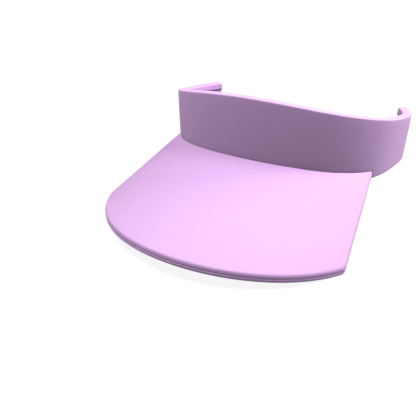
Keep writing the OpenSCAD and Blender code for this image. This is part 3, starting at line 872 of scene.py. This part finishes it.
# ---- Sweatband -------------------------------------------------------------------------------
# Cotton towelling across the forehead, tucked under the hem above and sewn along its lower edge.
# Its ground is a flat woven strip, and rows of small uncut loops stand up from it.
GROUND_THICK = 0.55 * MM
SWEATBAND_FACE = LINING_DEPTH + GROUND_THICK
LOOP_PITCH = 1.25 * MM
LOOP_ROW = 0.95 * MM
LOOP_HEIGHT = 0.7 * MM
LOOP_WIDTH = 0.7 * MM
LOOP_YARN = 0.44 * MM
LOOP_ASTRAY = (0.12 * MM, 0.08 * MM, 0.9)  # usual slip along, slip up and tilt of a loop
LOOP_SIZES = (0.82, 1.18)
LOOP_FOOT = 1.6 * MM         # room for the stitches below the lowest loops
LOOP_TOP = 0.3 * MM          # from the hem to the highest loops
GROUND_ROLL = 0.3 * MM
GROUND_STEP = 1.5 * MM
LOOP_BENDS, LOOP_SIDES = 4, 4  # how finely a loop is made along and round its yarn
TUFT = 0.5 * MM
TOWEL_LILAC = (0.680, 0.460, 0.733, 1)
TOWEL_SHADE = (0.546, 0.335, 0.608, 1)


def fibrous(name, light, shade, size, depth, detail, **plain):
    """Cotton loops or spun thread: tufts or plies of a size and depth, a little uneven in tone"""
    made, tree, shader = new_finish(name, **plain)
    fibres = noise(tree, own_place(tree), size, detail)
    coloured(tree, shader, fibres, shade, light)
    raised(tree, shader, fibres, depth)
    return made


def yarn_along(tree, bend, yarn, sides):
    """Round yarn along a short bend, closed at its ends"""
    radius = worked(tree, "MULTIPLY", yarn, 0.5)
    feeds = {"Resolution": sides, "Radius": radius}
    ring = add(tree, "GeometryNodeCurvePrimitiveCircle", feeds)
    feeds = {"Curve": bend, "Profile Curve": ring, "Fill Caps": True}
    return add(tree, "GeometryNodeCurveToMesh", feeds)


def stood_on(tree, spots, shape, onward, **more):
    """A shape on every spot, with its Z along the spot's up and its X onward"""
    feeds = {"Primary Axis": trait(tree, "up", "FLOAT_VECTOR"), "Secondary Axis": onward}
    axes = {"primary_axis": "Z", "secondary_axis": "X"}
    turned = add(tree, "FunctionNodeAxesToRotation", feeds, **axes)
    feeds = {"Points": spots, "Instance": shape, "Rotation": turned, **more}
    return add(tree, "GeometryNodeInstanceOnPoints", feeds)


def towelling_loops():
    """Small upright loops of yarn on a bed of points"""
    tree, given = new_tree(
        "towelling_loops",
        {"Yarn": "Float", "Width": "Float", "Height": "Float", "Cotton": "Material"},
    )
    spots = add(tree, "GeometryNodeMeshToPoints", {0: given["Geometry"]})
    half = worked(tree, "MULTIPLY", given["Width"], 0.5)
    root = worked(tree, "MULTIPLY", given["Yarn"], -0.5)
    peak = worked(tree, "MULTIPLY", given["Height"], 1.25)
    bend = add(tree, "GeometryNodeCurvePrimitiveBezierSegment", {
        "Resolution": LOOP_BENDS,
        "Start": vector_of(tree, X=worked(tree, "MULTIPLY", half, -1.0), Z=root),
        "Start Handle": vector_of(tree, X=worked(tree, "MULTIPLY", half, -1.6), Z=peak),
        "End Handle": vector_of(tree, X=worked(tree, "MULTIPLY", half, 1.6), Z=peak),
        "End": vector_of(tree, X=half, Z=root),
    })
    loop = yarn_along(tree, bend, given["Yarn"], LOOP_SIDES)
    feeds = {2: LOOP_SIZES[0], 3: LOOP_SIZES[1], "Seed": 5}
    size = add(tree, "FunctionNodeRandomValue", feeds, data_type="FLOAT").outputs[1]
    placed = stood_on(tree, spots, loop, trait(tree, "lean", "FLOAT_VECTOR"), Scale=size)
    close_tree(tree, placed, given["Cotton"])
    return tree


def loop_bed():
    """Where the loops root: offset rows over the sweatband's face, each a little out of line"""
    drawn = np.random.default_rng(11)
    slip_along, slip_up, tilt = LOOP_ASTRAY
    spots, ups, leans = [], [], []
    for row in range(round((FOREHEAD_TOP - HEM) / LOOP_ROW) + 1):
        along = np.arange(-SWEATBAND_REACH + MM, SWEATBAND_REACH - MM, LOOP_PITCH)
        along = along + LOOP_PITCH / 2 * (row % 2) + drawn.normal(0, slip_along, len(along))
        height = row * LOOP_ROW + drawn.normal(0, slip_up, len(along))
        fits = height > root_height(along) - BILL_THICK + LOOP_FOOT
        fits &= height < band_top(along) - HEM - LOOP_TOP
        fits &= np.abs(along) < SWEATBAND_REACH - MM
        points, out = band_plan(along[fits])
        spots.append(in_space(points - SWEATBAND_FACE * out, height[fits]))
        ups.append(in_space(-out))
        leans.append(in_space(out[:, ::-1] * (-1, 1), drawn.normal(0, tilt, len(out))))
    traits = {"up": np.concatenate(ups), "lean": np.concatenate(leans)}
    return line_mesh("loop_bed", np.concatenate(spots), traits, steps=0)


towel_cotton = fibrous(
    "towelling_cotton", TOWEL_LILAC, TOWEL_SHADE, TUFT, TUFT * 0.4, 3.0,
    Roughness=0.95, Specular_IOR_Level=0.1, Sheen_Weight=0.25, Sheen_Roughness=0.6,
)
sweatband_run = stations(-SWEATBAND_REACH, SWEATBAND_REACH, GROUND_STEP)
sweatband = swept_cloth(
    "sweatband_ground",
    band_line(
        "sweatband_line",
        sweatband_run,
        foot=root_height(sweatband_run) - BILL_THICK + SWEATBAND_FOOT,
        top=band_top(sweatband_run) - LINING_INSET,
        seamed=np.zeros(len(sweatband_run)),
        drawn=end_roll(sweatband_run, SWEATBAND_REACH, GROUND_ROLL),
    ),
    section_line("sweatband_section", strip_skin(LINING_DEPTH, SWEATBAND_FACE)),
    towel_cotton,
)
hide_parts("sweatband")
strip_area(
        sweatband_run,
        band_top(sweatband_run) - LINING_INSET - root_height(sweatband_run) + BILL_THICK,
    )
loops = grow(
    "sweatband_loops",
    loop_bed(),
    towelling_loops(),
    Yarn=LOOP_YARN,
    Width=LOOP_WIDTH,
    Height=LOOP_HEIGHT,
    Cotton=towel_cotton,
)
loops.parent = sweatband
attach(loops, "root")

# ---- Sewing ----------------------------------------------------------------------------------
# Lockstitch in matching spun polyester. It holds the hems, the arms' ends and the sweatband's
# lower edge down on the inner face, and catches only the plies that lie there.
STITCH_PITCH = 2.7 * MM
STITCH_LENGTH = 2.25 * MM
THREAD = 0.36 * MM
HEM_STITCH = 1.2 * MM        # from the hem's edge to its stitches
END_STITCH = 3.0 * MM        # from the arm's end to its upright stitches
SIDE_STITCH = 0.9 * MM       # from the sweatband's edges to its stitches
ROW_END = 1.6 * MM           # from the arm's end to the ends of the long rows
ROW_START = 1.5 * MM         # from the bill's side to the arm's lower row
ROW_CLEAR = 0.3 * MM         # from the hems to the upright rows
SIDE_LOW, SIDE_CLEAR = 3 * MM, 0.4 * MM  # the same for the rows at the sweatband's ends
STITCH_BENDS, STITCH_SIDES = 8, 7
PLY_SIZE = 0.18 * MM
PLY_DEPTH = 0.05 * MM
THREAD_LIGHT = (0.640, 0.385, 0.720, 1)
THREAD_SHADE = (0.468, 0.265, 0.538, 1)


def lockstitch():
    """Stitches at even steps along a line, each an arched length of thread with its ends sunk in"""
    tree, given = new_tree(
        "lockstitch",
        {"Pitch": "Float", "Length": "Float", "Thread": "Float", "Spun": "Material"},
    )
    line = add(tree, "GeometryNodeMeshToCurve", {0: given["Geometry"]})
    feeds = {"Curve": line, "Length": given["Pitch"]}
    spots = add(tree, "GeometryNodeCurveToPoints", feeds, mode="LENGTH")
    half = worked(tree, "MULTIPLY", given["Length"], 0.5)
    sunk = worked(tree, "MULTIPLY", given["Thread"], -0.4)
    bend = add(tree, "GeometryNodeCurveQuadraticBezier", {
        "Resolution": STITCH_BENDS,
        "Start": vector_of(tree, X=worked(tree, "MULTIPLY", half, -1.0), Z=sunk),
        "Middle": vector_of(tree, Z=worked(tree, "MULTIPLY", given["Thread"], 1.2)),
        "End": vector_of(tree, X=half, Z=sunk),
    })
    stitch = yarn_along(tree, bend, given["Thread"], STITCH_SIDES)
    close_tree(tree, stood_on(tree, spots, stitch, spots.outputs["Tangent"]), given["Spun"])
    return tree


def inner_row(along, depth, height):
    """A row of sewing on the band's inner face"""
    points, out = band_plan(along)
    return line_mesh("row", in_space(points - depth * out, height), {"up": in_space(-out)})


sewing = lockstitch()
matching_thread = fibrous(
    "matching_thread", THREAD_LIGHT, THREAD_SHADE, PLY_SIZE, PLY_DEPTH, 2.0,
    Roughness=0.6, Specular_IOR_Level=0.35, Sheen_Weight=0.2, Sheen_Roughness=0.4,
)
whole_run = stations(-HALF_BAND + ROW_END, HALF_BAND - ROW_END, MM)
forehead_run = stations(-SWEATBAND_REACH + MM, SWEATBAND_REACH - MM, MM)
sweatband_foot = root_height(forehead_run) - BILL_THICK + SWEATBAND_FOOT
rows = {
    "top_hem": (band_cover, inner_row(
        whole_run, BAND_THICK, band_top(whole_run) - HEM + HEM_STITCH
    )),
    "sweatband_foot": (sweatband, inner_row(
        forehead_run, SWEATBAND_FACE, sweatband_foot + SIDE_STITCH
    )),
}
for side, sign in (("left", 1), ("right", -1)):
    arm_run = sign * stations(BILL_REACH + ROW_START, HALF_BAND - ROW_END, MM)
    rows[f"foot_hem_{side}"] = (band_cover, inner_row(arm_run, BAND_THICK, HEM - HEM_STITCH))
    rise = stations(HEM + ROW_CLEAR, TIP_TOP - HEM - ROW_CLEAR, MM)
    at_end = np.full(len(rise), sign * (HALF_BAND - END_STITCH))
    rows[f"arm_end_{side}"] = (linings[side], inner_row(at_end, LINING_DEPTH + CLOTH, rise))
    at_side = np.full(len(rise), sign * (SWEATBAND_REACH - SIDE_STITCH))
    side_top = band_top(np.array([SWEATBAND_REACH]))[0] - HEM - SIDE_CLEAR
    rows[f"sweatband_end_{side}"] = (sweatband, inner_row(
        at_side, SWEATBAND_FACE, np.linspace(SIDE_LOW, side_top, len(rise))
    ))
for name, (sewn, row) in rows.items():
    stitches = grow(
        f"stitches_{name}",
        row,
        sewing,
        Pitch=STITCH_PITCH,
        Length=STITCH_LENGTH,
        Thread=THREAD,
        Spun=matching_thread,
    )
    stitches.parent = sewn
    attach(stitches, "root")

# ---- Studio ----------------------------------------------------------------------------------
# A plain pale floor just under the visor, and soft lamps: one high above the bill, a small one
# close over its left side, a broad key behind the wearer's left, a fill from the front right and
# one for the underside. The camera looks down on the bill from the wearer's front left.
FLOOR_DROP = 0.3 * MM
FLOOR_SPAN = 6.0
FLOOR_GREY = (0.22, 0.22, 0.22, 1)
FLOOR_TINT = (0.15, 0.15, 0.15, 1)
FLOOR_GLOW = (0.88, 1.0)     # near the visor and far from it
FLOOR_FADE = (0.25, 0.9)     # distances between which its glow rises
AMBIENT = 0.02
LAMPS = (  # place, size and power of each lamp, all aimed at the visor
    ("above", (-0.07, -0.36, 0.97), 0.35, 8.7),
    ("close", (0.15, -0.03, 0.34), 0.15, 0.75),
    ("key", (0.62, 0.5, 0.56), 0.6, 9.3),
    ("fill", (-0.81, -0.45, 0.08), 0.4, 1.5),
    ("under", (-0.12, 0.35, -0.75), 0.6, 3.5),
)
CAMERA_PLACE = (114.31 * MM, -283.86 * MM, 115.30 * MM)
CAMERA_YAW, CAMERA_PITCH, CAMERA_ROLL = (math.radians(a) for a in (-32.89, -30.05, -1.27))
CAMERA_LENS, CAMERA_SENSOR, CAMERA_NEAREST = 37.6, 36.0, 0.01

camera_data = bpy.data.cameras.new("studio_camera")
camera_data.lens, camera_data.sensor_width = CAMERA_LENS, CAMERA_SENSOR
camera_data.clip_start = CAMERA_NEAREST
camera = bpy.data.objects.new("studio_camera", camera_data)
camera.matrix_world = (
    Matrix.Translation(CAMERA_PLACE)
    @ Matrix.Rotation(-CAMERA_YAW, 4, "Z")
    @ Matrix.Rotation(math.pi / 2 + CAMERA_PITCH, 4, "X")
    @ Matrix.Rotation(CAMERA_ROLL, 4, "Z")
)
bpy.context.scene.collection.objects.link(camera)
bpy.context.scene.camera = camera


def seen_directly(tree):
    """One for what the camera sees itself or in a gloss, and nothing for light on its way"""
    path = add(tree, "ShaderNodeLightPath").outputs
    glossy = worked(tree, "MAXIMUM", path["Is Glossy Ray"], path["Is Transmission Ray"])
    return worked(tree, "MAXIMUM", path["Is Camera Ray"], glossy)


floor_data = bpy.data.meshes.new("studio_floor")
half = FLOOR_SPAN / 2
floor_z = cad_box[0].z - FLOOR_DROP
floor_data.from_pydata(
    [(x, y, floor_z) for x, y in ((-half, -half), (half, -half), (half, half), (-half, half))],
    [],
    [(0, 1, 2, 3)],
)
floor = bpy.data.objects.new("studio_floor", floor_data)
bpy.context.scene.collection.objects.link(floor)
floor_paint, tree, shader = new_finish("floor_paint", Roughness=0.9, Specular_IOR_Level=0.0)
seen = seen_directly(tree)
coloured(tree, shader, seen, FLOOR_GREY, FLOOR_TINT)
away = add(
    tree, "ShaderNodeVectorMath", {0: own_place(tree)}, operation="LENGTH"
).outputs["Value"]
glow = add(tree, "ShaderNodeMapRange", {
    "Value": away,
    "From Min": FLOOR_FADE[0],
    "From Max": FLOOR_FADE[1],
    "To Min": FLOOR_GLOW[0],
    "To Max": FLOOR_GLOW[1],
})
shader.inputs["Emission Color"].default_value = (1, 1, 1, 1)
tree.links.new(worked(tree, "MULTIPLY", seen, glow), shader.inputs["Emission Strength"])
backs = add(tree, "ShaderNodeNewGeometry").outputs["Backfacing"]
see_through = add(tree, "ShaderNodeMixShader", {
    "Fac": worked(tree, "MULTIPLY", seen, backs),
    1: shader,
    2: add(tree, "ShaderNodeBsdfTransparent"),
})
tree.links.new(see_through.outputs[0], tree.nodes["Material Output"].inputs["Surface"])
give_finish(floor, floor_paint)
floor.visible_shadow = False  # the lamp below shines through it

surroundings = bpy.data.worlds.new("studio_surroundings")
surroundings.use_nodes = True
tree = surroundings.node_tree
background = tree.nodes["Background"]
background.inputs["Color"].default_value = (1, 1, 1, 1)
tree.links.new(
    worked(tree, "MULTIPLY_ADD", seen_directly(tree), 1 - AMBIENT, AMBIENT),
    background.inputs["Strength"],
)
bpy.context.scene.world = surroundings

aim = Vector((cad_box[0] + cad_box[1]) / 2)
for name, place, size, power in LAMPS:
    lamp_data = bpy.data.lights.new(name, "AREA")
    lamp_data.shape, lamp_data.size, lamp_data.energy = "DISK", size, power
    lamp = bpy.data.objects.new(name, lamp_data)
    lamp.matrix_world = Matrix.Translation(place) @ (
        (aim - Vector(place)).to_track_quat("-Z", "Y").to_matrix().to_4x4()
    )
    bpy.context.scene.collection.objects.link(lamp)
# the bill throws no lilac light back on the band, which would deepen the band's colour
bpy.data.objects["bill_top_cover_cloth"].visible_diffuse = False
bpy.context.scene.view_settings.view_transform = "Standard"
